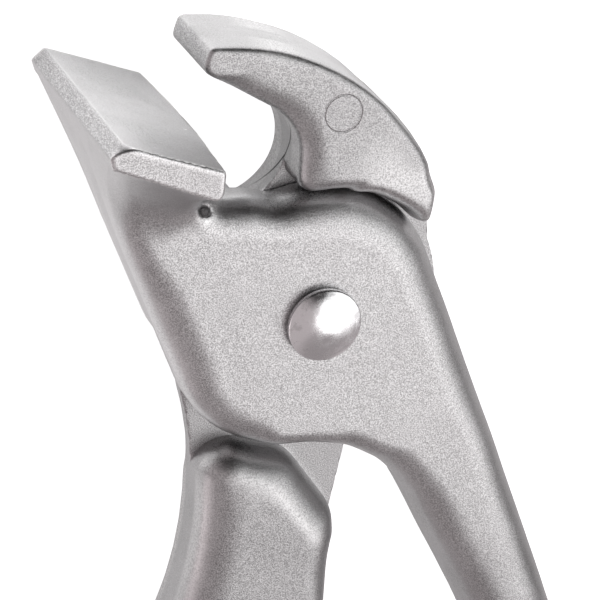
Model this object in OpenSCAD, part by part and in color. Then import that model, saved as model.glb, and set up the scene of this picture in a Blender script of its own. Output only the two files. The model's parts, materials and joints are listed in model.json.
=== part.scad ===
// Cast gripping pliers: two half-lapped levers that cross on one domed rivet.
// The front lever carries a wide flat jaw pad, the back lever a hooked beak.
// The tool lies on its side, with +Z along the rivet and the jaws towards +Y.
// Every outline is measured from the rivet's axis, with the jaws standing open.

/* [Levers] */
// Thickness of both levers away from the joint
lever_t = 13; // [11:0.5:15]
// Gap between the two lapped faces
lap_gap = 0.1; // [0.06:0.02:0.2]

/* [Joint] */
// Diameter of the rivet's shank
shank_d = 6; // [5:0.5:7]
// Radial running clearance of the shank in the front lever
shank_clearance = 0.05; // [0.02:0.01:0.1]
// Diameter of the rivet's heads
head_d = 10; // [9:0.5:12]
// Height of the rivet's heads
head_h = 2.5; // [1.8:0.1:2.8]
// Gap between a head and the lever that turns under it
head_gap = 0.05; // [0.02:0.01:0.1]
// Radius of the front lever's rounded shoulder about the rivet
hub_r = 17.2; // [16.5:0.1:17.3]
// Radius of the back lever's lapped disc
disc_r = 18.3; // [18:0.1:19.3]

/* [Jaws] */
// Width of the flat jaw pad, across both levers
pad_w = 34; // [28:1:36]
// Radius of the hollow under the pad's overhang
gusset_r = 6.5; // [4:0.5:8]
// Radius of the throat between the jaws
throat_r = 8.3; // [7.5:0.1:8.3]
// Radius of the beak's back
beak_back_r = 34; // [32:0.5:34.5]

/* [Handles] */
// Distance from the rivet to the handles' ends, along the tool
handle_reach = 151.5; // [135:0.5:165]
// Radius of the handles' rounded ends
end_r = 5.8; // [4:0.1:6]

/* [Hidden] */
$fn = 96;
arc_step = 5;
half_t = lever_t / 2;
cut = 1;

// Corners are [x, y, radius]
beak_tip_out = [-17.9, 38.4, 0.6];
beak_tip_in = [-18.6, 35.3, 1];
beak_back = [5.5, 38.4, beak_back_r];
throat_top = [-4.3, 27.1, throat_r];
throat_foot = [-4.3, 13.9, throat_r];

// Hollow under the beak's front half, that clears the front lever's shoulder
hollow_middle = [1.2, -1.2];
hollow_r = 19;
hollow_right = 44;
hollow_left = 107;

// Both sides of the back lever's handle, from its outer hip to its crotch
back_handle = [
    [-16.9, -9.6, 0], [-10.8, -27.8, 54], [-27.3, -75, 120],
    [-33.9, -handle_reach, end_r], [-21.2, -handle_reach, end_r],
    [-13.4, -76, 70], [5.3, -48, 14], [5.3, -36, 20], [8.2, -17.5, 0]
];
// Rounded end of the back lever's full thickness
block_end = [
    [-15, -17, 5], [-1.4, -20.6, 7], [5.4, -29.5, 5], [6.5, -40, 0],
    [20, -60, 0], [20, -200, 0], [-80, -200, 0], [-80, -60, 0],
    [-16, -34, 0], [-14.2, -26, 0]
];
// Whole silhouette of the front lever without its pad
front_outline = [
    [-31.8, 30.7, 0.5], [-33.5, 29.1, 0.5], [-27.2, 12.5, 60],
    [-13.5, -18, 15], [10.1, -18, 20], [34.7, -62, 120],
    [54.8, -handle_reach, end_r], [68, -handle_reach, end_r],
    [51.2, -75, 150], [9.7, 20.95, hub_r], [-6.45, 16, 4],
    [-10.2, 16.95, 5], [-14.9, 17, 2], [-17.4, 26.05, 1.5]
];
// Section of the jaw pad: its first side is the flat gripping face
pad_section = [
    [-18.8, 26.5, 0.8], [-31.8, 30.7, 0.4], [-33.5, 29.1, 0.4], [-18.9, 22.5, 0.8]
];
// Room that the front lever leaves for the back lever's disc and handle
room_r = 19.9;
handle_room = [
    [0, 0], [14.9, -13], [14.9, -24], [15.3, -28.5], [14, -45], [0, -45]
];

// Where the rivet's axis crosses the lapped faces: this puts the middle of
// the tool's footprint at the origin, with the pad's edge on the ground
pivot_at = [-16.59, (handle_reach - beak_tip_out.y) / 2, pad_w / 2];

function unit(v) = v / norm(v);
function xy(p) = [p.x, p.y];

// Arc that rounds the corner p, between its neighbours a and b, to radius r
function corner(a, p, b, r) =
    r == 0 ? [p] :
    let (
        u = unit(a - p),
        v = unit(b - p),
        half = acos(u * v) / 2,
        middle = p + unit(u + v) * r / sin(half),
        from = p + u * r / tan(half) - middle,
        to = p + v * r / tan(half) - middle,
        turn = atan2(from.x * to.y - from.y * to.x, from * to),
        start = atan2(from.y, from.x),
        n = max(2, ceil(abs(turn) / arc_step))
    )
    [for (i = [0:n]) middle + r * [cos(start + turn * i / n), sin(start + turn * i / n)]];

function rounded(pts) =
    let (n = len(pts))
    [for (i = [0:n - 1])
        each corner(xy(pts[(i + n - 1) % n]), xy(pts[i]), xy(pts[(i + 1) % n]), pts[i][2])];

// A plate between two heights, with its outline rounded at the corners
module plate(outline, low, high) {
    translate([0, 0, low])
        linear_extrude(high - low)
            polygon(rounded(outline));
}

module rod(at, r, low, high) {
    translate([at.x, at.y, low])
        cylinder(r = r, h = high - low);
}

// Points along a circle, as sharp corners
function arc(middle, r, from, to, n) =
    [for (i = [0:n])
        let (angle = from + (to - from) * i / n)
        [middle.x + r * cos(angle), middle.y + r * sin(angle), 0]];

// A circle's point with its corner rounded
function nick(middle, r, angle, rounding) =
    [middle.x + r * cos(angle), middle.y + r * sin(angle), rounding];

// Hollow fillet between the pad's overhang and one side of the front lever
module gusset() {
    along = xy(pad_section[2]) - xy(pad_section[3]);
    root = xy(pad_section[3]);
    length = norm(along) + 6;
    intersection() {
        plate(front_outline, half_t - cut, pad_w / 2);
        translate([root.x, root.y, half_t])
            rotate([0, 0, atan2(along.y, along.x)])
                difference() {
                    translate([-6, -1, -cut])
                        cube([length, gusset_r + 1, gusset_r + cut]);
                    translate([-7, gusset_r, gusset_r])
                        rotate([0, 90, 0])
                            cylinder(r = gusset_r, h = length + 2);
                }
    }
}

// Lapped half of the back lever, and the full thickness of beak and handle
module back_lever() {
    low = -half_t;
    lap = -lap_gap / 2;
    beak = [throat_top, beak_tip_in, beak_tip_out, beak_back];
    throat = [[-40, throat_foot.y, 0], throat_foot, [throat_foot.x, 40, 0], [-40, 40, 0]];
    lapped_end = [
        [15.55, 15, 1.2], [16.65, 8.4, 0], [12, 4, 0], [0, 0, 0],
        [-12.6, 12, 0], [-12.6, throat_foot.y, 0], throat_foot
    ];
    full_end = concat(
        [[15.1, 16.7, 1.5], nick(hollow_middle, hollow_r, hollow_right, 1.3)],
        arc(hollow_middle, hollow_r, hollow_right + 12, hollow_left - 9, 8),
        [nick(hollow_middle, hollow_r, hollow_left, 2.3)]
    );
    color("silver")
        translate(pivot_at)
            difference() {
                union() {
                    difference() {
                        rod([0, 0], disc_r, low, lap);
                        plate(throat, low - cut, lap + cut);
                    }
                    plate(concat(beak, lapped_end), low, lap);
                    plate(concat(beak, full_end), lap - cut, half_t);
                    plate(back_handle, low, lap);
                    intersection() {
                        plate(back_handle, lap - cut, half_t);
                        plate(block_end, low, half_t + cut);
                    }
                }
                rod([0, 0], shank_d / 2, low - cut, half_t + cut);
            }
}

// Full-thickness neck and handle, thinned where it laps the back lever
module front_lever() {
    lap = lap_gap / 2;
    low = -half_t - cut;
    color("lightgray")
        translate(pivot_at)
            difference() {
                union() {
                    plate(front_outline, -half_t, half_t);
                    plate(pad_section, -pad_w / 2, pad_w / 2);
                    for (side = [0, 1])
                        mirror([0, 0, side])
                            gusset();
                }
                rod([0, 0], room_r, low, lap);
                translate([0, 0, low])
                    linear_extrude(lap - low)
                        polygon(handle_room);
                rod([0, 0], shank_d / 2 + shank_clearance, low, half_t + cut);
            }
}

// Domed head, its flat side at z = 0
module rivet_head() {
    rim = 0.9;
    rise = head_h - rim;
    dome_r = (pow(head_d / 2, 2) + pow(rise, 2)) / (2 * rise);
    cylinder(d = head_d, h = rim);
    intersection() {
        translate([0, 0, head_h - dome_r])
            sphere(r = dome_r);
        cylinder(d = head_d, h = head_h);
    }
}

module rivet() {
    sunk = 0.01;
    color("gainsboro")
        translate(pivot_at) {
            translate([0, 0, -half_t - sunk])
                cylinder(d = shank_d, h = lever_t + head_gap + 2 * sunk);
            translate([0, 0, half_t + head_gap])
                rivet_head();
            translate([0, 0, -half_t])
                mirror([0, 0, 1])
                    rivet_head();
        }
}

back_lever();
front_lever();
rivet();
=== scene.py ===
"""Looks of the cast gripper pliers: two half-lapped levers and the domed rivet between them.

Each lever is one tumbled aluminium casting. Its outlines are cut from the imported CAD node, and the
casting's fillets, blends and small unevenness are built on them as a solid distance field, which
dual contouring turns into a closed mesh. Lengths are in millimetres from the rivet's axis and the
lapped faces, until a mesh is placed in the frame.
"""
import json
from math import cos, hypot, pi, radians, sin

import bmesh
import bpy
import numpy as np
from mathutils import Matrix, Vector

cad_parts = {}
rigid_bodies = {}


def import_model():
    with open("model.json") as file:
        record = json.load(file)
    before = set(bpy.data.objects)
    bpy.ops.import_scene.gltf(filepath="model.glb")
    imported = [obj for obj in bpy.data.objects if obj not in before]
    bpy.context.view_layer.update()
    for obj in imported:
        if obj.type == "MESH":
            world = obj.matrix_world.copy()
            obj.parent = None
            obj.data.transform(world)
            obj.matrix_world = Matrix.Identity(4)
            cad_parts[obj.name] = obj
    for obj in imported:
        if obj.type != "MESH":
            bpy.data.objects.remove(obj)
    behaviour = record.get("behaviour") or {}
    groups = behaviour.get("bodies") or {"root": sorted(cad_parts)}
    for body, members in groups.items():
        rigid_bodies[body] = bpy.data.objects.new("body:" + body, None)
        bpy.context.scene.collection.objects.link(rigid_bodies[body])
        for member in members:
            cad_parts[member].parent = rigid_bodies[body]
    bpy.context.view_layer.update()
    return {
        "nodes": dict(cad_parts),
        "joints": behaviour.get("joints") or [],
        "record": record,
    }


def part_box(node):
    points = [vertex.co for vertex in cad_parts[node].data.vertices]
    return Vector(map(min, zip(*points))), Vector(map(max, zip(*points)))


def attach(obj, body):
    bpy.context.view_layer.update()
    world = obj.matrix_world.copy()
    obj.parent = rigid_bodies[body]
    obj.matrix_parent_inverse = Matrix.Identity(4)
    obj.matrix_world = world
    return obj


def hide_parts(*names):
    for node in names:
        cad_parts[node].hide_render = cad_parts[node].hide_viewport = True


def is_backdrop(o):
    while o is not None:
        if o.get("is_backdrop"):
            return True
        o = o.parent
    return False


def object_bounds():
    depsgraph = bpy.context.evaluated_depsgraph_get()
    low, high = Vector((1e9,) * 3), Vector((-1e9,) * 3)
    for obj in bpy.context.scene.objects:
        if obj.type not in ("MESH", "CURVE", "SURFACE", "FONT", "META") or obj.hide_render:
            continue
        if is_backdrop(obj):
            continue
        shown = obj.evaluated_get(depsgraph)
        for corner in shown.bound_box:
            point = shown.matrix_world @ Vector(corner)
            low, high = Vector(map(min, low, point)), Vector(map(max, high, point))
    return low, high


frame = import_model()

# ---------------------------------------------------------------- the frame's own sizes, in mm
MM = 0.001
HINGE = frame["joints"][0]
PIVOT = np.array(HINGE["pos_m"]) / MM
BACK_BODY, FRONT_BODY = HINGE["parent"], HINGE["child"]
MOUNTS = {m["name"]: m for m in frame["record"]["mounts"]}
JAW_FACE = MOUNTS["wide_jaw_face"]


def node_box(node):
    """A CAD node's corners, from the rivet's axis."""
    return [np.array(corner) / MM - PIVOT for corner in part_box(node)]


HALF_T = node_box("back_lever")[1][2]
HALF_PAD = node_box("front_lever")[1][2]
HEAD_TOP = node_box("rivet")[1][2]
HEAD_R = node_box("rivet")[1][0]
LAP = 0.05              # half the gap between the lapped faces
BORE_R = 3.05           # the front lever's bore
SHANK_R = BORE_R - 0.05
LAYER_OVERLAP = 0.5     # how far each lever's two layers reach into each other
BOX_ROOM = 1.0          # room kept round a CAD node's box while meshing

# ---------------------------------------------------------------- the castings' own shape, in mm
FINE = 0.36             # mesh pitch about the joint and the jaws
COARSE = 0.8            # mesh pitch along the handles
FINE_FROM = -62.0       # height along the tool where the fine pitch starts
MIDDLE_PULL = 0.06      # keeps each mesh point near the middle of its cell's cuts
FIELD_PITCH = 0.2       # pitch of the flat distance fields
FIELD_BLUR = 0.4        # smooths the facets of the CAD outlines
DEEP_BLUR = 1.7         # smooths the distances well inside an outline
DEEP_FROM, DEEP_OVER = 1.2, 3.0     # where that second smoothing starts, and how long it grows
CRISP_BLUR = 0.12       # for the pad's outline, which keeps its edges
PAD_SECTION = 0.92      # share of the pad's half width at which its outline is cut
PAD_EDGE = 0.35         # rounding of the jaw pad's edges
PAD_BOW = 0.95          # how far the pad's root bows out between its ends
PAD_FACET = 0.7         # cut across the pad's near outer corner
PAD_FACET_EDGE = 0.15   # rounding of that cut
LAP_EDGE = 0.3          # rounding of the lapped faces' edges
JAW_UNDERCUT = 0.2      # the neck and the web stop this far under the gripping face
LIP_AT_TIP, LIP_AT_ROOT = 1.2, 0.2  # how far the pad's under side stands out from its CAD outline
WEB_LIP = 0.5           # step from the pad's side down to the web under it
WEB_ROUND = 1.4         # rounding of the web's outer edge
WEB_X = (-32, -22, -17)             # places across the web, and how far down it runs at each
WEB_RUN = (14.0, 11.4, 8.6)
WEB_HOLLOW_NEAR, WEB_HOLLOW_FAR = 2.7, 2.1      # how hollow it is on either side
MOUTH_OUT = (0.956, 0.293)          # which way the web's end towards the mouth faces
MOUTH_BACK, MOUTH_Y = 0.2, 22.5     # where that end lies: left of the pad's root, at this height
MOUTH_EDGE = 1.5        # rounding of that end
WEB_BLEND = 1.4         # blend of that end into the neck
PIT_AT = (-17.24, 16.81, 6.5)       # small cold-shut pit where the web meets the neck's top
PIT_ALONG = (-0.347, 0.414, 0.842)  # which way the pit opens
PIT_REACH = (-2.2, 4.0)             # how far it reaches inwards and outwards from there
PIT_R, PIT_EDGE = 0.62, 0.6         # its radius, and the rounding of its rim

# Fillet sizes (x, y, width across the face, depth): each holds about its own spot
FRONT_FILLETS = [
    (0, 17, 5.4, 4.8), (-9, 16, 4.6, 4.2), (8, 14, 5.8, 5.4), (15, 8, 6.0, 5.8),
    (22, -8, 5.6, 5.4), (33, -32, 5.2, 4.8), (42, -58, 5.6, 5.4), (52, -90, 6.0, 6.0),
    (66, -145, 6.0, 6.2), (-20, -2, 5.2, 3.6), (-12, -15, 4.4, 3.2), (-28, 14, 3.6, 2.8),
    (0, -18, 2.2, 1.9), (9, -18, 3.2, 2.6), (13, -24, 4.6, 3.8), (17, -32, 5.2, 4.4),
    (24, -46, 5.4, 5.0), (38, -90, 5.8, 5.6), (55, -145, 6.0, 6.0)
]
BACK_FILLETS = [
    (-14, 39, 0.9, 0.9), (-2, 37.5, 1.1, 1.1), (6, 33, 1.1, 1.1), (12, 23, 1.3, 1.3),
    (-13, 31.5, 3.4, 1.7), (-7, 28, 4.2, 2.0), (-4, 22, 3.6, 2.4), (2, 18, 2.0, 2.4),
    (8, 16, 2.2, 4.8), (12, 13, 2.5, 5.8), (14.5, 15.5, 1.7, 3.6), (-18.3, 36.6, 0.6, 0.6),
    (-13, -18, 5.8, 5.6), (-8, -19, 5.8, 5.6), (-3, -21, 5.8, 5.6), (3, -26, 5.6, 5.4),
    (6, -34, 4.6, 4.8), (5, -46, 4.0, 4.6), (-13, -28, 5.8, 3.8), (-18, -50, 5.8, 4.2),
    (-24, -100, 5.6, 5.4), (-30, -145, 5.4, 5.6), (-10, -90, 5.6, 5.8)
]
SPOT_CORE = 4.0         # keeps each spot's share finite, in square mm

TOE_R = 17.5            # the beak's underside flares down to this radius about the rivet
TOE_END = (15.0, 11.6)  # far corner of that flare
TOE_X, TOE_SUM = 3, 30.8            # the flare lies right of this x, and below this x + y
# Corners of the ridge round the handle's block that gets a painted highlight, and its half width
HIGHLIGHT_RIDGE = [
    (-14.3, -20.6), (-11.6, -21.8), (-8.8, -22.2), (-5.9, -22.9), (-3.0, -25.7), (-0.5, -29.0),
    (2.3, -32.5)
]
HIGHLIGHT_RIDGE_W = 0.85
WORN_DEPTH = 0.8        # edges are found from how thin the metal is at this depth
WORN_FROM = 1.6         # no edge is worn closer to the lapped faces than this
RAW_FROM = (-16, 26)    # the cut tips lie left of this x and above this y
THROAT_AT, THROAT_R = (-12.6, 20.5), 8.3        # middle and radius of the throat between the jaws
# The parting line is drawn in the throat as a thin line of painted shadow, for a groove too fine to
# mesh
SEAM_AT = (20.7, -0.2)  # (y, z) on the slanting parting line across the throat
SEAM_RISE = 0.57        # how fast that line rises with y
SEAM_W = 0.09           # half width of that line
MARK_AT = (0.4, 28.7)   # where an ejector pin met the beak
MARK_R = 2.5            # radius, half width and depth of the pin's ring
MARK_GROOVE, MARK_DEPTH = 0.1, 0.09
LONG_WAVE, LONG_HEIGHT = 9.0, 0.026             # unevenness of the castings' skin
SHORT_WAVE, SHORT_HEIGHT = 2.6, 0.006
RIM_H, RIM_LIFT = 1.15, 0.3         # height of the rivet heads' rims, and of the bevel under them
HEAD_TILT = (-0.06, 0.05)           # slopes of the heads' crowns across x and y
DENT_AT, DENT_DEPTH = (0.1, -1.9), 0.07         # small dent beside each crown


# ================================================================ flat outlines and their distances
def section(node, height):
    """Segments of a CAD node's outline at one height, without the rivet's bore."""
    mesh = frame["nodes"][node].data
    mesh.calc_loop_triangles()
    co = np.empty(len(mesh.vertices) * 3)
    mesh.vertices.foreach_get("co", co)
    co = co.reshape(-1, 3) / MM - PIVOT
    tri = np.empty(len(mesh.loop_triangles) * 3, int)
    mesh.loop_triangles.foreach_get("vertices", tri)
    corners = co[tri.reshape(-1, 3)]
    above = corners[:, :, 2] > height
    corners = corners[(above.sum(1) % 3) != 0]
    above = corners[:, :, 2] > height
    ends = []
    for i, j in ((0, 1), (1, 2), (2, 0)):
        a, b = corners[:, i], corners[:, j]
        share = (height - a[:, 2]) / np.where(a[:, 2] == b[:, 2], 1, b[:, 2] - a[:, 2])
        point = a + (b - a) * share[:, None]
        ends.append(np.where((above[:, i] != above[:, j])[:, None], point, np.nan))
    ends = np.stack(ends, 1)
    pairs = np.array([e[~np.isnan(e[:, 0])] for e in ends])[:, :, :2]
    keep = np.hypot(pairs[:, 0, 0], pairs[:, 0, 1]) > BORE_R + 0.5
    return pairs[keep]


def blurred(field, cells):
    """Gaussian blur along both axes."""
    reach = int(3 * cells) + 1
    taps = np.exp(-0.5 * (np.arange(-reach, reach + 1) / cells) ** 2)
    taps /= taps.sum()
    for axis in (0, 1):
        wide = np.pad(field, [(reach, reach) if a == axis else (0, 0) for a in (0, 1)], "edge")
        size = field.shape[axis]
        field = sum(t * wide.take(range(k, k + size), axis) for k, t in enumerate(taps))
    return field


class Flat:
    """A field over x and y, looked up between its grid's points."""

    def __init__(self, low, high, make):
        self.low = np.array(low, float)
        n = np.ceil((np.array(high) - self.low) / FIELD_PITCH).astype(int) + 1
        x = self.low[0] + FIELD_PITCH * np.arange(n[0])
        y = self.low[1] + FIELD_PITCH * np.arange(n[1])
        self.values = make(x[:, None] + 0 * y[None, :], y[None, :] + 0 * x[:, None])

    def __call__(self, x, y):
        u = np.clip((x - self.low[0]) / FIELD_PITCH, 0, self.values.shape[0] - 1.001)
        v = np.clip((y - self.low[1]) / FIELD_PITCH, 0, self.values.shape[1] - 1.001)
        i, j = u.astype(int), v.astype(int)
        u, v = u - i, v - j
        f = self.values
        return ((f[i, j] * (1 - u) + f[i + 1, j] * u) * (1 - v)
                + (f[i, j + 1] * (1 - u) + f[i + 1, j + 1] * u) * v)


def softened(signed):
    """A distance field with its facets smoothed, and its ridges too well inside."""
    near = blurred(signed, FIELD_BLUR / FIELD_PITCH)
    deep = blurred(signed, DEEP_BLUR / FIELD_PITCH)
    return near + (deep - near) * np.clip((-near - DEEP_FROM) / DEEP_OVER, 0, 1)


def outline_distance(segments, blur=FIELD_BLUR):
    """Maker of a field: distance to an outline, negative inside."""
    def make(x, y):
        near = np.full(x.shape, 1e9)
        inside = np.zeros(x.shape, bool)
        for (ax, ay), (bx, by) in segments:
            ex, ey = bx - ax, by - ay
            length = ex * ex + ey * ey
            if length < 1e-12:
                continue
            share = np.clip(((x - ax) * ex + (y - ay) * ey) / length, 0, 1)
            near = np.minimum(near, (x - ax - share * ex) ** 2 + (y - ay - share * ey) ** 2)
            if ay != by:
                spans = (ay > y) != (by > y)
                inside ^= spans & (x < ax + (y - ay) * ex / ey)
        signed = np.sqrt(near) * np.where(inside, -1, 1)
        if blur == FIELD_BLUR:
            return softened(signed)
        return blurred(signed, blur / FIELD_PITCH) if blur else signed
    return make


def fillet_maker(spots, column):
    """Maker of a field: a fillet's size, shared out between the named spots."""
    def make(x, y):
        total, weights = 0 * x, 0 * x
        for spot in spots:
            w = ((x - spot[0]) ** 2 + (y - spot[1]) ** 2 + SPOT_CORE) ** -2
            total, weights = total + w * spot[column], weights + w
        return total / weights
    return make


# ================================================================ solid fields
def filleted(d, over, width, depth):
    """A plate's field: d is the distance to its outline, over the height above its face."""
    u = np.maximum(d / width + 1, 0)
    v = np.maximum(over / depth + 1, 0)
    size = np.minimum(width, depth)
    inner = np.minimum(np.maximum(d / width + 1, over / depth + 1), 0)
    return (np.sqrt(u * u + v * v) + inner - 1) * size


def merged(a, b, k):
    """Union with a blend of radius k."""
    h = np.maximum(k - np.abs(a - b), 0) / k
    return np.minimum(a, b) - h * h * k / 4


def carved(a, b, k):
    """Intersection with a blend of radius k."""
    return -merged(-a, -b, k)


def pit(x, y, z):
    """A short slanting blind hole."""
    x, y, z = x - PIT_AT[0], y - PIT_AT[1], z - PIT_AT[2]
    along = x * PIT_ALONG[0] + y * PIT_ALONG[1] + z * PIT_ALONG[2]
    along = np.clip(along, *PIT_REACH)
    return np.sqrt((x - along * PIT_ALONG[0]) ** 2 + (y - along * PIT_ALONG[1]) ** 2
                   + (z - along * PIT_ALONG[2]) ** 2) - PIT_R


class BackLever:
    """The back lever as a solid field: beak, lapped disc and handle."""
    node = "back_lever"
    tip_out = (-0.975, 0.22)

    def __init__(self):
        low, high = node_box(self.node)
        self.low, self.high = low - BOX_ROOM, high + BOX_ROOM
        span = (self.low[:2] - 3, self.high[:2] + 3)
        self.front = Flat(*span, self.flared(outline_distance(section(self.node, HALF_T / 2), 0)))
        self.back = Flat(*span, outline_distance(section(self.node, -HALF_T / 2)))
        self.width = Flat(*span, fillet_maker(BACK_FILLETS, 2))
        self.depth = Flat(*span, fillet_maker(BACK_FILLETS, 3))

    def flared(self, outline):
        """Maker of the front layer's outline with the toe under the beak added."""
        def make(x, y):
            toe = np.maximum(TOE_R - np.hypot(x, y), x - TOE_END[0])
            toe = np.maximum(np.maximum(toe, TOE_END[1] - y), np.maximum(x + y - TOE_SUM, TOE_X - x))
            return softened(np.minimum(outline(x, y), toe))
        return make

    def __call__(self, x, y, z):
        width, depth = self.width(x, y), self.depth(x, y)
        front = filleted(self.front(x, y), z - HALF_T, width, depth)
        front = np.maximum(front, -LAYER_OVERLAP - z)
        back = filleted(self.back(x, y), -z - HALF_T, width, depth)
        back = carved(back, z + LAP, LAP_EDGE)
        return np.maximum(np.minimum(front, back), SHANK_R - np.hypot(x, y))


class FrontLever:
    """The front lever as a solid field: pad, web, neck and handle."""
    node = "front_lever"
    tip_out = (-0.685, 0.728)

    def __init__(self):
        low, high = node_box(self.node)
        self.low, self.high = low - BOX_ROOM, high + BOX_ROOM
        span = (self.low[:2] - 3, self.high[:2] + 3)
        front = section(self.node, HALF_T / 2)
        pad = section(self.node, PAD_SECTION * HALF_PAD)
        self.front = Flat(*span, outline_distance(front))
        self.crisp = Flat(*span, outline_distance(front, CRISP_BLUR))
        self.back = Flat(*span, outline_distance(section(self.node, -HALF_T / 2)))
        self.pad = Flat(*span, outline_distance(pad, CRISP_BLUR))
        self.width = Flat(*span, fillet_maker(FRONT_FILLETS, 2))
        self.depth = Flat(*span, fillet_maker(FRONT_FILLETS, 3))
        pad = pad.reshape(-1, 2)
        self.root = pad[pad[:, 0].argmax()]
        self.tip = pad[pad[:, 0].argmin()]
        self.jaw_at = np.array(JAW_FACE["pos_m"]) / MM - PIVOT
        self.jaw_out = np.array(JAW_FACE["axis"])

    def jaw(self, x, y):
        """Height above the flat gripping face."""
        return (x - self.jaw_at[0]) * self.jaw_out[0] + (y - self.jaw_at[1]) * self.jaw_out[1]

    def slab(self, x, y, z, crisp, lip):
        """The jaw pad: its root bows out, and a small facet cuts its near outer corner."""
        bow = PAD_BOW * np.clip(1 - (z / HALF_PAD) ** 2, 0, 1)
        outline = self.pad(x - bow * self.jaw_out[1], y + bow * self.jaw_out[0])
        side = np.abs(z) - HALF_PAD
        pad = filleted(np.maximum(outline - lip, crisp), side, PAD_EDGE, PAD_EDGE)
        beyond_tip = (x - self.tip[0]) * self.tip_out[0] + (y - self.tip[1]) * self.tip_out[1]
        corner = (beyond_tip + self.jaw(x, y) + z - HALF_PAD) / 3 ** 0.5 + PAD_FACET
        return carved(pad, corner, PAD_FACET_EDGE)

    def web(self, x, y, z, outline, crisp, width, depth):
        """Hollow web that spreads the neck out under the pad, flush with its outer side."""
        run = np.interp(x, WEB_X, WEB_RUN)
        hollow = np.where(z > 0, WEB_HOLLOW_NEAR, WEB_HOLLOW_FAR)
        down = np.clip(outline / run, 0, 1)
        height = HALF_T + (HALF_PAD - HALF_T - WEB_LIP) * (1 - down) ** hollow
        wide = WEB_ROUND + (width - WEB_ROUND) * down
        deep = WEB_ROUND + (depth - WEB_ROUND) * down
        web = filleted(crisp, np.abs(z) - height, wide, deep)
        mouth_side = MOUTH_OUT[0] * (x - self.root[0] + MOUTH_BACK) + MOUTH_OUT[1] * (y - MOUTH_Y)
        blend = 0.01 + WEB_BLEND * np.clip((mouth_side + 3) / 2.5, 0, 1) * np.clip(3 - 3 * down, 0, 1)
        web = np.maximum(carved(web, mouth_side, MOUTH_EDGE), outline - run)
        return np.maximum(web, self.jaw(x, y) + JAW_UNDERCUT), blend

    def __call__(self, x, y, z):
        width, depth = self.width(x, y), self.depth(x, y)
        d_front, crisp = self.front(x, y), self.crisp(x, y)
        front = filleted(d_front, z - HALF_T, width, depth)
        front = carved(front, LAP - z, LAP_EDGE)
        back = filleted(self.back(x, y), -z - HALF_T, width, depth)
        back = np.maximum(back, z - LAYER_OVERLAP)
        body = np.maximum(np.minimum(front, back), self.jaw(x, y) + JAW_UNDERCUT)
        lip = np.interp(x, [self.tip[0], self.root[0]], [LIP_AT_TIP, LIP_AT_ROOT])
        web, blend = self.web(x, y, z, self.pad(x, y) - lip, crisp, width, depth)
        body = np.maximum(merged(body, web, blend), self.jaw(x, y) + JAW_UNDERCUT)
        body = carved(body, -pit(x, y, z), PIT_EDGE)
        solid = np.minimum(body, self.slab(x, y, z, crisp, lip))
        return np.maximum(solid, BORE_R - np.hypot(x, y))


# ================================================================ dual contouring
def pitched(low, high, axis):
    """Grid lines along one axis: fine near the jaws, coarse along the handles."""
    lines = [high]
    while lines[-1] > low:
        far = axis == 1 and lines[-1] < FINE_FROM
        lines.append(lines[-1] - (min(COARSE, lines[-2] - lines[-1] + 0.02) if far else FINE))
    return np.array(lines[::-1])


def slope(solid, p, eps=0.04):
    """Outward direction of a field at points."""
    base = np.empty(p.shape)
    for a in range(3):
        step = np.zeros(3)
        step[a] = eps
        ahead, behind = p + step, p - step
        base[:, a] = solid(*ahead.T) - solid(*behind.T)
    return base / np.maximum(np.linalg.norm(base, axis=1), 1e-9)[:, None]


def cuts_along(grid, values, axis):
    """Where the surface cuts the grid's lines along one axis, and the four cells round each cut."""
    cells = np.array(values.shape) - 1
    inside = values < 0
    first = [slice(None)] * 3
    second = [slice(None)] * 3
    first[axis], second[axis] = slice(None, -1), slice(1, None)
    first, second = tuple(first), tuple(second)
    at = np.argwhere(inside[first] != inside[second])
    v0 = values[first][tuple(at.T)]
    v1 = values[second][tuple(at.T)]
    p = np.stack([grid[a][at[:, a]] for a in range(3)], 1)
    p[:, axis] += (grid[axis][at[:, axis] + 1] - p[:, axis]) * v0 / (v0 - v1)
    b, c = (axis + 1) % 3, (axis + 2) % 3
    around = []
    for db, dc in ((-1, -1), (0, -1), (0, 0), (-1, 0)):
        cell = at.copy()
        cell[:, b] += db
        cell[:, c] += dc
        around.append((cell[:, 0] * cells[1] + cell[:, 1]) * cells[2] + cell[:, 2])
    around = np.stack(around, 1)
    return p, around, np.where((v0 < 0)[:, None], around, around[:, ::-1])


def cell_points(points, normals, index, count):
    """For each cell, the point nearest to the planes that its cuts lie on."""
    def gathered(values):
        return np.bincount(index, values, len(count))

    middle = np.stack([gathered(points[:, a]) / count for a in range(3)], 1)
    offset = ((points - middle[index]) * normals).sum(1)
    matrix = np.empty((len(count), 3, 3))
    for a in range(3):
        for b in range(a, 3):
            matrix[:, a, b] = matrix[:, b, a] = gathered(normals[:, a] * normals[:, b])
    right = np.stack([gathered(normals[:, a] * offset) for a in range(3)], 1)
    matrix += MIDDLE_PULL * count[:, None, None] * np.eye(3)
    return middle + np.linalg.solve(matrix, right[:, :, None])[:, :, 0]


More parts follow.
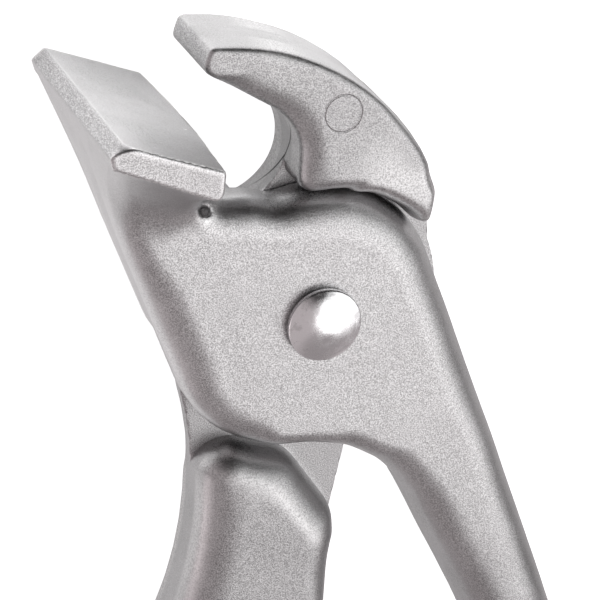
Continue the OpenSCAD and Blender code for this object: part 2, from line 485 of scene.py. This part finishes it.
def contour(solid):
    """Vertices and quads of a solid's surface, with its edges kept crisp."""
    grid = [pitched(solid.low[a], solid.high[a], a) for a in range(3)]
    x, y, z = grid[0][:, None, None], grid[1][None, :, None], grid[2][None, None, :]
    values = solid(x, y, z).astype(np.float32)
    cells = np.array(values.shape) - 1
    points, normals, owners, quads = [], [], [], []
    for axis in range(3):
        p, around, faces = cuts_along(grid, values, axis)
        points.append(np.repeat(p, 4, 0))
        normals.append(np.repeat(slope(solid, p), 4, 0))
        owners.append(around.ravel())
        quads.append(faces)
    points, normals = np.concatenate(points), np.concatenate(normals)
    ids, index = np.unique(np.concatenate(owners), return_inverse=True)
    fitted = cell_points(points, normals, index, np.bincount(index).astype(float))
    corner = np.stack([ids // (cells[1] * cells[2]), ids // cells[2] % cells[1], ids % cells[2]], 1)
    low = np.stack([grid[a][corner[:, a]] for a in range(3)], 1)
    high = np.stack([grid[a][corner[:, a] + 1] for a in range(3)], 1)
    return np.clip(fitted, low, high), np.searchsorted(ids, np.concatenate(quads))


def waves(p, length, seed):
    """Smooth unevenness between about -1 and 1, from a few crossing waves."""
    rng = np.random.default_rng(seed)
    total = np.zeros(len(p))
    for _ in range(9):
        direction = rng.normal(size=3)
        direction *= 2 * pi / (length * rng.uniform(0.7, 1.5) * np.linalg.norm(direction))
        total += np.sin(p @ direction + rng.uniform(0, 2 * pi))
    return total / 4


# ================================================================ meshes
def place(name, verts, faces, body, crease=38):
    """Makes a piece from points about the rivet, smooth-shaded up to its creases."""
    mesh = bpy.data.meshes.new(name)
    mesh.from_pydata(((verts + PIVOT) * MM).tolist(), [], faces)
    mesh.update()
    mesh.shade_smooth()
    mesh.set_sharp_from_angle(angle=radians(crease))
    piece = bpy.data.objects.new(name, mesh)
    bpy.context.scene.collection.objects.link(piece)
    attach(piece, body)
    return piece


def casting(solid, name, body, seed):
    """One lever's mesh, with the slight unevenness of a tumbled casting."""
    verts, quads = contour(solid)
    n = slope(solid, verts)
    calm = np.clip((np.abs(verts[:, 2]) - 0.6) / 1.5, 0, 1)
    bumps = LONG_HEIGHT * waves(verts, LONG_WAVE, seed)
    bumps += SHORT_HEIGHT * waves(verts, SHORT_WAVE, seed + 1)
    verts = verts + n * (bumps * calm)[:, None]
    piece = place(name, verts, quads.tolist(), body)
    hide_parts(solid.node)
    return piece


def highlight_ridge_distance(p):
    """Distance across the front face to the ridge that gets a painted highlight."""
    near = np.full(len(p), 1e9)
    for (ax, ay), (bx, by) in zip(HIGHLIGHT_RIDGE, HIGHLIGHT_RIDGE[1:]):
        ex, ey = bx - ax, by - ay
        share = np.clip(((p[:, 0] - ax) * ex + (p[:, 1] - ay) * ey) / (ex * ex + ey * ey), 0, 1)
        near = np.minimum(near, np.hypot(p[:, 0] - ax - share * ex, p[:, 1] - ay - share * ey))
    return near


def surface_facts(piece, solid):
    """Stores what the metal's look depends on at each point of a casting.

    lean: 0 on the flat faces, 1 on the sides. wear_and_highlight: 1 along sharp outer edges, where
    the metal is rubbed, and up to 0.85 along the back block's ridge as a painted highlight.
    raw: 1 on the jaw's cut tip, which the tumbling has not smoothed.
    seam_shadow: 1 on the throat's wall, where the mould's parting line is drawn as a thin painted
    shadow.
    """
    mesh = piece.data
    co = np.empty(len(mesh.vertices) * 3)
    mesh.vertices.foreach_get("co", co)
    p = co.reshape(-1, 3) / MM - PIVOT
    out = slope(solid, p, 0.3)
    sharp = slope(solid, p)
    wear_and_highlight = np.clip((solid(*(p - WORN_DEPTH * sharp).T) + 0.75) / 0.3, 0, 1)
    wear_and_highlight *= np.clip((np.abs(p[:, 2]) - WORN_FROM) / 0.5, 0, 1)
    # The back block's ridge gets a painted highlight in the same bright colour as the rubbed edges
    if solid.node == "back_lever":
        wear_and_highlight = np.maximum(wear_and_highlight, 0.85 * np.exp(-(highlight_ridge_distance(p) / HIGHLIGHT_RIDGE_W) ** 2) * (p[:, 2] > 2))
    facing = sharp[:, 0] * solid.tip_out[0] + sharp[:, 1] * solid.tip_out[1]
    raw = np.clip((facing - 0.75) / 0.15, 0, 1) * (p[:, 1] > RAW_FROM[1]) * (p[:, 0] < RAW_FROM[0])
    off_throat = np.abs(np.hypot(p[:, 0] - THROAT_AT[0], p[:, 1] - THROAT_AT[1]) - THROAT_R)
    in_throat = (p[:, 0] > THROAT_AT[0]) * (solid.node == "back_lever")
    seam_shadow = np.clip(1.6 - off_throat, 0, 1) * np.clip(3.6 - np.abs(p[:, 2]), 0, 1) * in_throat
    facts = {"lean": 1 - np.abs(out[:, 2]), "wear_and_highlight": wear_and_highlight, "raw": raw, "seam_shadow": seam_shadow}
    for name, values in facts.items():
        data = mesh.attributes.new(name, "FLOAT", "POINT").data
        data.foreach_set("value", values.astype(np.float32))


def ejector_mark(piece):
    """Presses the faint ring of an ejector pin into the beak's front face."""
    ring_in, ring_out = MARK_R - 0.5, MARK_R + 0.5
    centre = np.array([*MARK_AT, 0]) + PIVOT

    def reach(v):
        return hypot(v.co.x / MM - centre[0], v.co.y / MM - centre[1])

    bm = bmesh.new()
    bm.from_mesh(piece.data)
    top = (PIVOT[2] + HALF_T - 0.5) * MM
    faces = [f for f in bm.faces if f.normal.z > 0.9
             and all(v.co.z > top and ring_in - 0.3 < reach(v) < ring_out + 0.3 for v in f.verts)]
    edges = {e for f in faces for e in f.edges}
    bmesh.ops.subdivide_edges(bm, edges=list(edges), cuts=4, use_grid_fill=True)
    for v in bm.verts:
        if v.co.z > top:
            away = (reach(v) - MARK_R) / MARK_GROOVE
            if abs(away) < 4:
                v.co.z -= MARK_DEPTH * MM * np.exp(-away * away)
    bm.to_mesh(piece.data)
    bm.free()
    piece.data.update()


def lathe(profile, turns):
    """Points and faces of a closed profile of (radius, height) turned about the axis."""
    verts, faces = [], []
    n = len(profile)
    for k in range(turns):
        angle = 2 * pi * k / turns
        verts += [(r * cos(angle), r * sin(angle), z) for r, z in profile]
    for k in range(turns):
        a, b = k * n, (k + 1) % turns * n
        faces += [(a + i, b + i, b + i + 1, a + i + 1) for i in range(n - 1)]
    return np.array(verts), faces


def head_profile(rim=RIM_H, lift=RIM_LIFT):
    """One head's outline from its middle to its shank, for a seat at height 0."""
    top = HEAD_TOP - HALF_T
    rise = top - rim
    dome = [(max(HEAD_R * s, 0.0005), top - rise * s ** 2) for s in np.linspace(0, 0.985, 40)]
    side = [(HEAD_R - 0.02, rim - 0.05), (HEAD_R - 0.02, rim - 0.18), (HEAD_R - 0.1, lift + 0.12),
            (HEAD_R - 0.35, lift), (HEAD_R - 1.0, 0.03), (3.2, 0.03)]
    return dome + side


def rivet():
    """The solid rivet: two domed heads and the shank between them."""
    up = [(r, z + HALF_T + 0.02) for r, z in head_profile()]
    down = [(r, -z) for r, z in up][::-1]
    shank = [(SHANK_R, z) for z in np.linspace(HALF_T, -HALF_T, 9)]
    verts, faces = lathe(up + shank + down, 128)
    inner = 1 - np.clip(np.hypot(verts[:, 0], verts[:, 1]) / HEAD_R, 0, 1) ** 2
    tilt = (HEAD_TILT[0] * verts[:, 0] + HEAD_TILT[1] * verts[:, 1]) * inner
    away = (verts[:, 0] - DENT_AT[0]) ** 2 + (verts[:, 1] - DENT_AT[1]) ** 2
    tilt -= DENT_DEPTH * np.exp(-away / 0.8)
    tilt *= np.clip(np.abs(verts[:, 2]) - HALF_T - 0.6, 0, 1)
    verts[:, 2] += tilt * np.sign(verts[:, 2]) + 0.004 * waves(verts, 2.2, 5)
    piece = place("rivet_solid", verts, faces, BACK_BODY, 50)
    bm = bmesh.new()
    bm.from_mesh(piece.data)
    bmesh.ops.remove_doubles(bm, verts=bm.verts, dist=0.001 * MM)
    bmesh.ops.recalc_face_normals(bm, faces=bm.faces)
    bm.to_mesh(piece.data)
    bm.free()
    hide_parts("rivet")
    return piece


# ================================================================ materials
class Nodes:
    """Short calls for building one material's nodes."""

    def __init__(self, name):
        self.material = bpy.data.materials.new(name)
        self.material.use_nodes = True
        self.tree = self.material.node_tree
        self.shader = self.tree.nodes["Principled BSDF"]
        self.where = self.add("ShaderNodeTexCoord").outputs["Object"]

    def add(self, kind, **settings):
        node = self.tree.nodes.new(kind)
        for key, value in settings.items():
            setattr(node, key, value)
        return node

    def link(self, source, target):
        if isinstance(source, (int, float, tuple)):
            target.default_value = source
        else:
            self.tree.links.new(source, target)

    def noise(self, size_mm, detail=2.0, rough=0.5, stretch=None):
        """Noise whose features are about size_mm across."""
        node = self.add("ShaderNodeTexNoise")
        node.inputs["Scale"].default_value = 1 / (size_mm * MM)
        node.inputs["Detail"].default_value = detail
        node.inputs["Roughness"].default_value = rough
        vector = self.where
        if stretch:
            mapping = self.add("ShaderNodeMapping")
            mapping.inputs["Scale"].default_value = stretch[:3]
            mapping.inputs["Rotation"].default_value = (0, 0, radians(stretch[3]))
            self.link(vector, mapping.inputs["Vector"])
            vector = mapping.outputs["Vector"]
        self.link(vector, node.inputs["Vector"])
        return node.outputs["Fac"]

    def ramp(self, value, low, high, out_low=0.0, out_high=1.0):
        node = self.add("ShaderNodeMapRange", interpolation_type="SMOOTHSTEP")
        for source, key in ((value, "Value"), (low, "From Min"), (high, "From Max"),
                            (out_low, "To Min"), (out_high, "To Max")):
            self.link(source, node.inputs[key])
        return node.outputs["Result"]

    def math(self, operation, a, b=0.0):
        node = self.add("ShaderNodeMath", operation=operation)
        self.link(a, node.inputs[0])
        self.link(b, node.inputs[1])
        return node.outputs[0]

    def colour(self, share, a, b, blend="MIX"):
        """Mix of two colours, each a node's output or a tuple."""
        node = self.add("ShaderNodeMix", data_type="RGBA", blend_type=blend)
        self.link(share, node.inputs[0])
        self.link(a, node.inputs[6])
        self.link(b, node.inputs[7])
        return node.outputs[2]

    def bump(self, height, strength, depth_mm, under=None):
        node = self.add("ShaderNodeBump")
        node.inputs["Strength"].default_value = strength
        node.inputs["Distance"].default_value = depth_mm * MM
        self.link(height, node.inputs["Height"])
        if under is not None:
            self.link(under, node.inputs["Normal"])
        return node.outputs["Normal"]


PAINTED_SHADE_SPAN = (0.0, 0.045)      # heights along the tool between which a casting's painted shade changes
# Sizes of the castings' marks, in mm
GRAIN_SIZE, PIT_SIZE, PATCH_SIZE, CLOUD_SIZE = 0.15, 0.27, 2.6, 9.0
SCRATCH_SIZE, SCRATCH_STRETCH = 0.5, (0.06, 1.5, 1.0, 25.0)
# Colours of the castings: two tones of plain metal, then what the marks turn them towards
METAL_DIM, METAL_BRIGHT = (0.50, 0.50, 0.504, 1), (0.57, 0.568, 0.574, 1)
PATCHED, RAW_CUT = (0.44, 0.432, 0.434, 1), (0.36, 0.36, 0.368, 1)
SPECK_LIGHT, SPECK_DARK = (0.88, 0.88, 0.88, 1), (0.22, 0.215, 0.215, 1)
# The bright rubbed colour is real wear on the edges and a painted highlight on the back block's ridge
RUBBED_AND_HIGHLIGHT, SCRATCHED = (0.90, 0.90, 0.90, 1), (0.93, 0.93, 0.93, 1)
# Painted shadow of the parting line's fine groove
SEAM_SHADOW = (0.03, 0.03, 0.03, 1)
RIVET_BRIGHT, RIVET_SCUFFED = (0.90, 0.90, 0.91, 1), (0.70, 0.695, 0.70, 1)
RING_PITCH = 0.42              # pitch of the rivet's turned rings, in mm


def specked(m, base, grain, on_face):
    """Adds the light and dark specks of the grain."""
    speck = m.math("MULTIPLY", m.ramp(grain, 0.38, 0.62, -1.0, 1.0), on_face)
    light = m.math("MULTIPLY", m.math("MAXIMUM", speck, 0.0), 0.65)
    dark = m.math("MULTIPLY", m.math("MAXIMUM", m.math("MULTIPLY", speck, -1.0), 0.0), 0.7)
    base = m.colour(light, base, SPECK_LIGHT)
    return m.colour(dark, base, SPECK_DARK)


def scratched(m, base):
    """Adds a few long faint scratches."""
    lines = m.ramp(m.noise(SCRATCH_SIZE, 1.0, 0.5, SCRATCH_STRETCH), 0.70, 0.74)
    lines = m.math("MULTIPLY", lines, m.ramp(m.noise(5.0), 0.55, 0.7, 0, 0.6))
    return m.colour(lines, base, SCRATCHED)


def painted_shade_and_seam(m, base, seam_shadow, painted_shade):
    """Paints shade that darkens the metal along the tool, and draws the mould's parting line in the
    throat as a thin painted shadow.
    """
    split = m.add("ShaderNodeSeparateXYZ")
    m.link(m.where, split.inputs[0])
    # Painted shade: the metal is mixed towards black by height along the tool
    along = m.ramp(split.outputs[1], *PAINTED_SHADE_SPAN, *painted_shade)
    base = m.colour(along, base, (0, 0, 0, 1))
    seam_at = (PIVOT[2] + SEAM_AT[1] - SEAM_RISE * (PIVOT[1] + SEAM_AT[0])) * MM
    across = m.math("SUBTRACT", split.outputs[2], m.math("MULTIPLY", split.outputs[1], SEAM_RISE))
    across = m.math("ABSOLUTE", m.math("SUBTRACT", across, float(seam_at)))
    # The parting line: a thin line of painted shadow
    groove_shadow = m.ramp(across, SEAM_W * MM, 2.5 * SEAM_W * MM, 0.9, 0.0)
    return m.colour(m.math("MULTIPLY", seam_shadow, groove_shadow), base, SEAM_SHADOW)


def cast_metal(name, painted_shade):
    """Tumbled cast aluminium: fine bright grain, faint scratches, rubbed edges and raw cut tips, with
    painted shade along the tool, a painted shadow in the parting line and a painted highlight on the
    back block's ridge.
    """
    m = Nodes(name)
    lean, wear_and_highlight, raw, seam_shadow = (m.add("ShaderNodeAttribute", attribute_name=fact).outputs["Fac"]
                             for fact in ("lean", "wear_and_highlight", "raw", "seam_shadow"))
    grain = m.noise(GRAIN_SIZE, 2.0, 0.75)
    pits = m.noise(PIT_SIZE, 2.0, 0.6)
    cloud = m.noise(CLOUD_SIZE, 3.0, 0.55)
    patches = m.noise(PATCH_SIZE, 4.0, 0.65)
    on_face = m.math("MAXIMUM", m.ramp(lean, 0.02, 0.35, 1.0, 0.4), raw)

    base = m.colour(m.ramp(cloud, 0.35, 0.65), METAL_DIM, METAL_BRIGHT)
    base = m.colour(m.ramp(patches, 0.5, 0.75, 0, 0.4), base, PATCHED)
    base = m.colour(m.math("MULTIPLY", raw, 0.65), base, RAW_CUT)
    base = specked(m, base, grain, on_face)
    # Rubbed edges, and the painted highlight along the back block's ridge
    rubbed_and_highlight = m.math("MULTIPLY", wear_and_highlight, m.ramp(pits, 0.4, 0.6, 0.2, 0.9))
    base = scratched(m, m.colour(rubbed_and_highlight, base, RUBBED_AND_HIGHLIGHT))
    m.link(painted_shade_and_seam(m, base, seam_shadow, painted_shade), m.shader.inputs["Base Color"])

    m.link(1.0, m.shader.inputs["Metallic"])
    rough = m.math("ADD", m.ramp(grain, 0.3, 0.7, 0.36, 0.46), m.ramp(cloud, 0.3, 0.7, -0.03, 0.03))
    rough = m.math("SUBTRACT", rough, m.ramp(lean, 0.08, 0.5, 0.0, 0.09))
    m.link(m.math("ADD", rough, m.math("MULTIPLY", raw, 0.18)), m.shader.inputs["Roughness"])
    coarse = m.bump(pits, 0.5, 0.05)
    fine = m.bump(grain, 0.5, 0.035, coarse)
    m.link(fine, m.shader.inputs["Normal"])
    return m.material


def rivet_metal():
    """Bright soft metal, turned in faint rings by the setting tool and scuffed in places."""
    m = Nodes("rivet_bright")
    split = m.add("ShaderNodeSeparateXYZ")
    shift = m.add("ShaderNodeVectorMath", operation="SUBTRACT")
    m.link(m.where, shift.inputs[0])
    shift.inputs[1].default_value = PIVOT * MM
    m.link(shift.outputs[0], split.inputs[0])
    radius = m.math("SQRT", m.math("ADD", m.math("MULTIPLY", split.outputs[0], split.outputs[0]),
                                   m.math("MULTIPLY", split.outputs[1], split.outputs[1])))
    rings = m.math("SINE", m.math("MULTIPLY", radius, 2 * pi / (RING_PITCH * MM)))
    scuffs = m.noise(1.3, 4.0, 0.65)
    fine = m.noise(0.25, 3.0, 0.6)
    base = m.colour(m.ramp(scuffs, 0.5, 0.72), RIVET_BRIGHT, RIVET_SCUFFED)
    m.link(base, m.shader.inputs["Base Color"])
    m.link(1.0, m.shader.inputs["Metallic"])
    m.link(m.ramp(scuffs, 0.4, 0.7, 0.20, 0.32), m.shader.inputs["Roughness"])
    turned = m.bump(rings, 0.10, 0.004)
    dents = m.bump(scuffs, 0.35, 0.05, turned)
    m.link(m.bump(fine, 0.3, 0.02, dents), m.shader.inputs["Normal"])
    return m.material


# ================================================================ studio
def emission(name, colour, strength):
    material = bpy.data.materials.new(name)
    material.use_nodes = True
    tree = material.node_tree
    tree.nodes.clear()
    glow = tree.nodes.new("ShaderNodeEmission")
    glow.inputs["Color"].default_value = colour
    glow.inputs["Strength"].default_value = strength
    out = tree.nodes.new("ShaderNodeOutputMaterial")
    tree.links.new(glow.outputs[0], out.inputs[0])
    return material


def paper(name, radius, glow):
    """A round of white paper under the tool, glowing a little."""
    bm = bmesh.new()
    bmesh.ops.create_circle(bm, cap_ends=True, segments=96, radius=radius)
    mesh = bpy.data.meshes.new(name)
    bm.to_mesh(mesh)
    bm.free()
    material = bpy.data.materials.new(name)
    material.use_nodes = True
    tree = material.node_tree
    shader = tree.nodes["Principled BSDF"]
    shader.inputs["Base Color"].default_value = (0.9, 0.9, 0.9, 1)
    shader.inputs["Roughness"].default_value = 0.9
    shader.inputs["Specular IOR Level"].default_value = 0.0
    shader.inputs["Emission Color"].default_value = (1, 1, 1, 1)
    shader.inputs["Emission Strength"].default_value = glow
    mesh.materials.append(material)
    ground = bpy.data.objects.new(name, mesh)
    ground.location.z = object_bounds()[0].z - 0.0002
    bpy.context.scene.collection.objects.link(ground)
    ground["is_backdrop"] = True
    return ground


def faded(tree, value, span, low, high):
    """A smooth step of a value from low to high over a span."""
    node = tree.nodes.new("ShaderNodeMapRange")
    node.interpolation_type = "SMOOTHSTEP"
    tree.links.new(value, node.inputs["Value"])
    node.inputs["From Min"].default_value, node.inputs["From Max"].default_value = span
    node.inputs["To Min"].default_value, node.inputs["To Max"].default_value = low, high
    return node.outputs[0]


def light_sheet(tree):
    """Makes the sheet greyer far out and brighter beyond the jaws and the left side."""
    shader = tree.nodes["Principled BSDF"]
    where = tree.nodes.new("ShaderNodeTexCoord")
    away = tree.nodes.new("ShaderNodeVectorMath")
    away.operation = "LENGTH"
    tree.links.new(where.outputs["Object"], away.inputs[0])
    fade = faded(tree, away.outputs["Value"], SHEET_REACH, 0.9, 0.25)
    grey = tree.nodes.new("ShaderNodeCombineColor")
    for channel in range(3):
        tree.links.new(fade, grey.inputs[channel])
    tree.links.new(grey.outputs[0], shader.inputs["Base Color"])
    tree.links.new(grey.outputs[0], shader.inputs["Emission Color"])
    spot = tree.nodes.new("ShaderNodeNewGeometry")
    split = tree.nodes.new("ShaderNodeSeparateXYZ")
    tree.links.new(spot.outputs["Position"], split.inputs[0])
    jaws = faded(tree, split.outputs[1], JAW_SPAN, SHEET_GLOW, JAW_GLOW)
    left = faded(tree, split.outputs[0], LEFT_SPAN, SHEET_GLOW, LEFT_GLOW)
    most = tree.nodes.new("ShaderNodeMath")
    most.operation = "MAXIMUM"
    tree.links.new(jaws, most.inputs[0])
    tree.links.new(left, most.inputs[1])
    tree.links.new(most.outputs[0], shader.inputs["Emission Strength"])


def floor():
    """Plain white floor for the camera, and the sheet that the metal reflects."""
    seen = paper("floor", 6.0, FLOOR_GLOW)
    seen.visible_glossy = False
    seen.visible_diffuse = False
    sheet = paper("floor_sheet", 0.6, SHEET_GLOW)
    sheet.location.z -= 0.0003
    sheet.scale.y = 1.5
    sheet.visible_camera = False
    light_sheet(sheet.data.materials[0].node_tree)


def direction(azimuth, elevation):
    """Unit vector towards a compass direction: azimuth 0 is -Y and 90 is +X."""
    a, e = radians(azimuth), radians(elevation)
    return Vector((sin(a) * cos(e), -cos(a) * cos(e), sin(e)))


def softbox(name, azimuth, elevation, distance, size, power):
    """Round soft light aimed at the rivet."""
    light = bpy.data.lights.new(name, "AREA")
    light.shape = "DISK"
    light.size = size
    light.energy = power
    lamp = bpy.data.objects.new(name, light)
    bpy.context.scene.collection.objects.link(lamp)
    back = direction(azimuth, elevation)
    lamp.location = Vector(PIVOT * MM) + back * distance
    lamp.rotation_mode = "QUATERNION"
    lamp.rotation_quaternion = back.to_track_quat("Z", "Y")
    lamp.visible_camera = False


def room_walls():
    """Dim warm walls, darker or brighter in a few soft-edged patches."""
    material = emission("room_walls", ROOM_COLOUR, 1.0)
    tree = material.node_tree
    glow = next(n for n in tree.nodes if n.type == "EMISSION")
    where = tree.nodes.new("ShaderNodeTexCoord")
    unit = tree.nodes.new("ShaderNodeVectorMath")
    unit.operation = "NORMALIZE"
    tree.links.new(where.outputs["Object"], unit.inputs[0])
    level = tree.nodes.new("ShaderNodeValue")
    level.outputs[0].default_value = ROOM_GLOW
    total = level.outputs[0]
    for azimuth, elevation, inner, outer, share in ROOM_PATCHES:
        toward = tree.nodes.new("ShaderNodeVectorMath")
        toward.operation = "DOT_PRODUCT"
        tree.links.new(unit.outputs[0], toward.inputs[0])
        toward.inputs[1].default_value = direction(azimuth, elevation)
        span = cos(radians(outer)), cos(radians(inner))
        patch = faded(tree, toward.outputs["Value"], span, 1.0, share)
        scaled = tree.nodes.new("ShaderNodeMath")
        scaled.operation = "MULTIPLY"
        tree.links.new(patch, scaled.inputs[0])
        tree.links.new(total, scaled.inputs[1])
        total = scaled.outputs[0]
    tree.links.new(total, glow.inputs["Strength"])
    return material


def room():
    """Dim warm room seen only in the metal, and a white backdrop for the camera."""
    world = bpy.data.worlds.new("backdrop")
    bpy.context.scene.world = world
    world.use_nodes = True
    background = world.node_tree.nodes["Background"]
    background.inputs["Color"].default_value = (1, 1, 1, 1)
    background.inputs["Strength"].default_value = 1.0
    bm = bmesh.new()
    bmesh.ops.create_uvsphere(bm, u_segments=48, v_segments=24, radius=8.0)
    mesh = bpy.data.meshes.new("room")
    bm.to_mesh(mesh)
    bm.free()
    mesh.materials.append(room_walls())
    dome = bpy.data.objects.new("room", mesh)
    bpy.context.scene.collection.objects.link(dome)
    dome.visible_camera = False
    dome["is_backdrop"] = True


# The camera's place, round the rivet, as seen in the photograph
CAMERA_AZIMUTH, CAMERA_ELEVATION, CAMERA_ROLL = -140.0, 57.3, 140.0
CAMERA_DISTANCE, CAMERA_LENS = 437.284, 205.656
CAMERA_AIM = (-3.51, 3.618, 7.0)
FLOOR_GLOW = 0.86
SHEET_REACH = (0.10, 0.32)     # how far out the reflected sheet's white fades to grey
# Glow of the sheet: its middle, beyond the jaws (from y to y) and beyond the left side (x to x)
SHEET_GLOW = 0.27
JAW_GLOW, JAW_SPAN = 1.35, (0.078, 0.096)
LEFT_GLOW, LEFT_SPAN = 0.60, (-0.022, -0.044)
ROOM_COLOUR, ROOM_GLOW = (1.0, 0.90, 0.915, 1), 0.46
# Patches of the room's walls: azimuth, elevation, inner and outer reach, share of the glow left
ROOM_PATCHES = [
    (158, 14, 42, 72, 0.04),
    (24, 28, 12, 40, 0.62),
    (88, 6, 12, 40, 0.34),
    (-66, 4, 8, 30, 3.0),
    (36, -4, 6, 20, 2.2)
]
# The one softbox: azimuth, elevation, distance, diameter and radiance
KEY_AZIMUTH, KEY_ELEVATION, KEY_AWAY, KEY_WIDE, KEY_RADIANCE = 85, 54, 0.9, 1.24, 1.35


def camera():
    data = bpy.data.cameras.new("camera")
    data.lens, data.sensor_width = CAMERA_LENS, 36.0
    data.clip_start, data.clip_end = 0.01, 50.0
    cam = bpy.data.objects.new("camera", data)
    bpy.context.scene.collection.objects.link(cam)
    back = direction(CAMERA_AZIMUTH, CAMERA_ELEVATION)
    level = Vector((0, 0, 1)).cross(back).normalized()
    roll = Matrix.Rotation(radians(CAMERA_ROLL), 3, back)
    right = roll @ level
    up = back.cross(right)
    axes = Matrix((right, up, back)).transposed()
    aim = Vector((PIVOT + np.array(CAMERA_AIM)) * MM)
    cam.matrix_world = Matrix.Translation(aim + back * CAMERA_DISTANCE * MM) @ axes.to_4x4()
    bpy.context.scene.camera = cam


# ================================================================ build
back_solid, front_solid = BackLever(), FrontLever()
back_piece = casting(back_solid, "back_casting", BACK_BODY, 11)
front_piece = casting(front_solid, "front_casting", FRONT_BODY, 23)
ejector_mark(back_piece)
surface_facts(back_piece, back_solid)
surface_facts(front_piece, front_solid)
# Painted shade: the back lever's metal is evenly darker, the front one's darker towards its handle
back_piece.data.materials.append(cast_metal("cast_back", (0.20, 0.20)))
front_piece.data.materials.append(cast_metal("cast_front", (0.17, 0.0)))
rivet().data.materials.append(rivet_metal())

room()
floor()
key_power = KEY_RADIANCE * pi * pi * KEY_WIDE ** 2 / 4
softbox("key", KEY_AZIMUTH, KEY_ELEVATION, KEY_AWAY, KEY_WIDE, key_power)
camera()
bpy.context.scene.view_settings.view_transform = "Standard"
